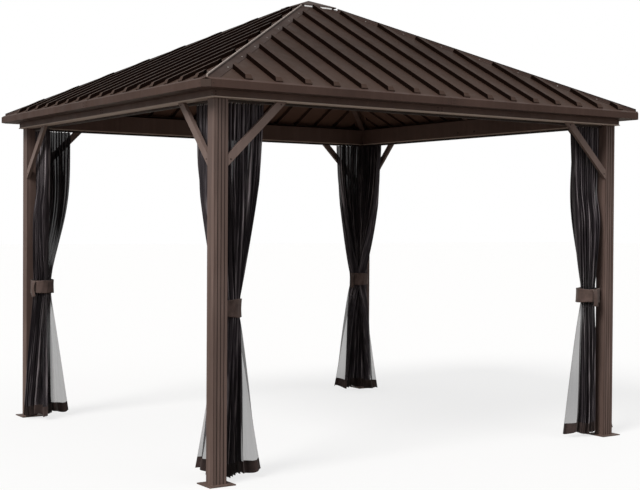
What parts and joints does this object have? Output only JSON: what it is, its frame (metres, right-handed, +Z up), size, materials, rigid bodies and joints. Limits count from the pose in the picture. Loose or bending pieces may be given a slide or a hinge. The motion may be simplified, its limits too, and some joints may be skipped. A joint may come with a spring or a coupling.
{
  "type": "metal gazebo",
  "caption": "Open hardtop garden gazebo: fluted metal posts with knee braces, a low ribbed metal hip roof with a raised vent cap, and tied-back mosquito curtains at the posts.",
  "frame": {"origin": "centre of the footprint, on the ground under the foot plates", "axes": "+Z up; -Y towards the front, +X towards the right side"},
  "size_m": [3, 3, 2.7363],
  "materials": {
    "frame_metal": "satin bronze-brown powder coat",
    "rail_metal": "satin bronze-brown powder coat",
    "roof_metal": "matt dark-brown coated steel sheet",
    "trim_metal": "satin bronze-brown coated steel sheet",
    "screen": "pale woven insect screen",
    "netting": "black knitted mosquito netting",
    "tie_fabric": "dark-brown woven tie band"
  },
  "bodies": {
    "root": {"post_front_left": "frame_metal", "post_front_right": "frame_metal", "post_back_right": "frame_metal", "post_back_left": "frame_metal", "foot_plate_front_left": "frame_metal", "foot_plate_front_right": "frame_metal", "foot_plate_back_right": "frame_metal", "foot_plate_back_left": "frame_metal", "knee_braces_front": "frame_metal", "knee_braces_right": "frame_metal", "knee_braces_back": "frame_metal", "knee_braces_left": "frame_metal", "beam_front": "frame_metal", "beam_right": "frame_metal", "beam_back": "frame_metal", "beam_left": "frame_metal", "beam_splices": "frame_metal", "curtain_rails": "rail_metal", "roof_panel_front": "roof_metal", "roof_panel_right": "roof_metal", "roof_panel_back": "roof_metal", "roof_panel_left": "roof_metal", "hip_cover_front_left": "trim_metal", "hip_cover_front_right": "trim_metal", "hip_cover_back_right": "trim_metal", "hip_cover_back_left": "trim_metal", "eave_trim_front": "trim_metal", "eave_trim_right": "trim_metal", "eave_trim_back": "trim_metal", "eave_trim_left": "trim_metal", "eave_corners": "trim_metal", "hip_rafters": "frame_metal", "middle_rafters": "frame_metal", "crown_ring": "frame_metal", "vent_screen": "screen", "top_cap": "trim_metal", "curtain_front_left": "netting", "curtain_front_right": "netting", "curtain_back_right": "netting", "curtain_back_left": "netting", "curtain_ties": "tie_fabric"}
  },
  "joints": []
}
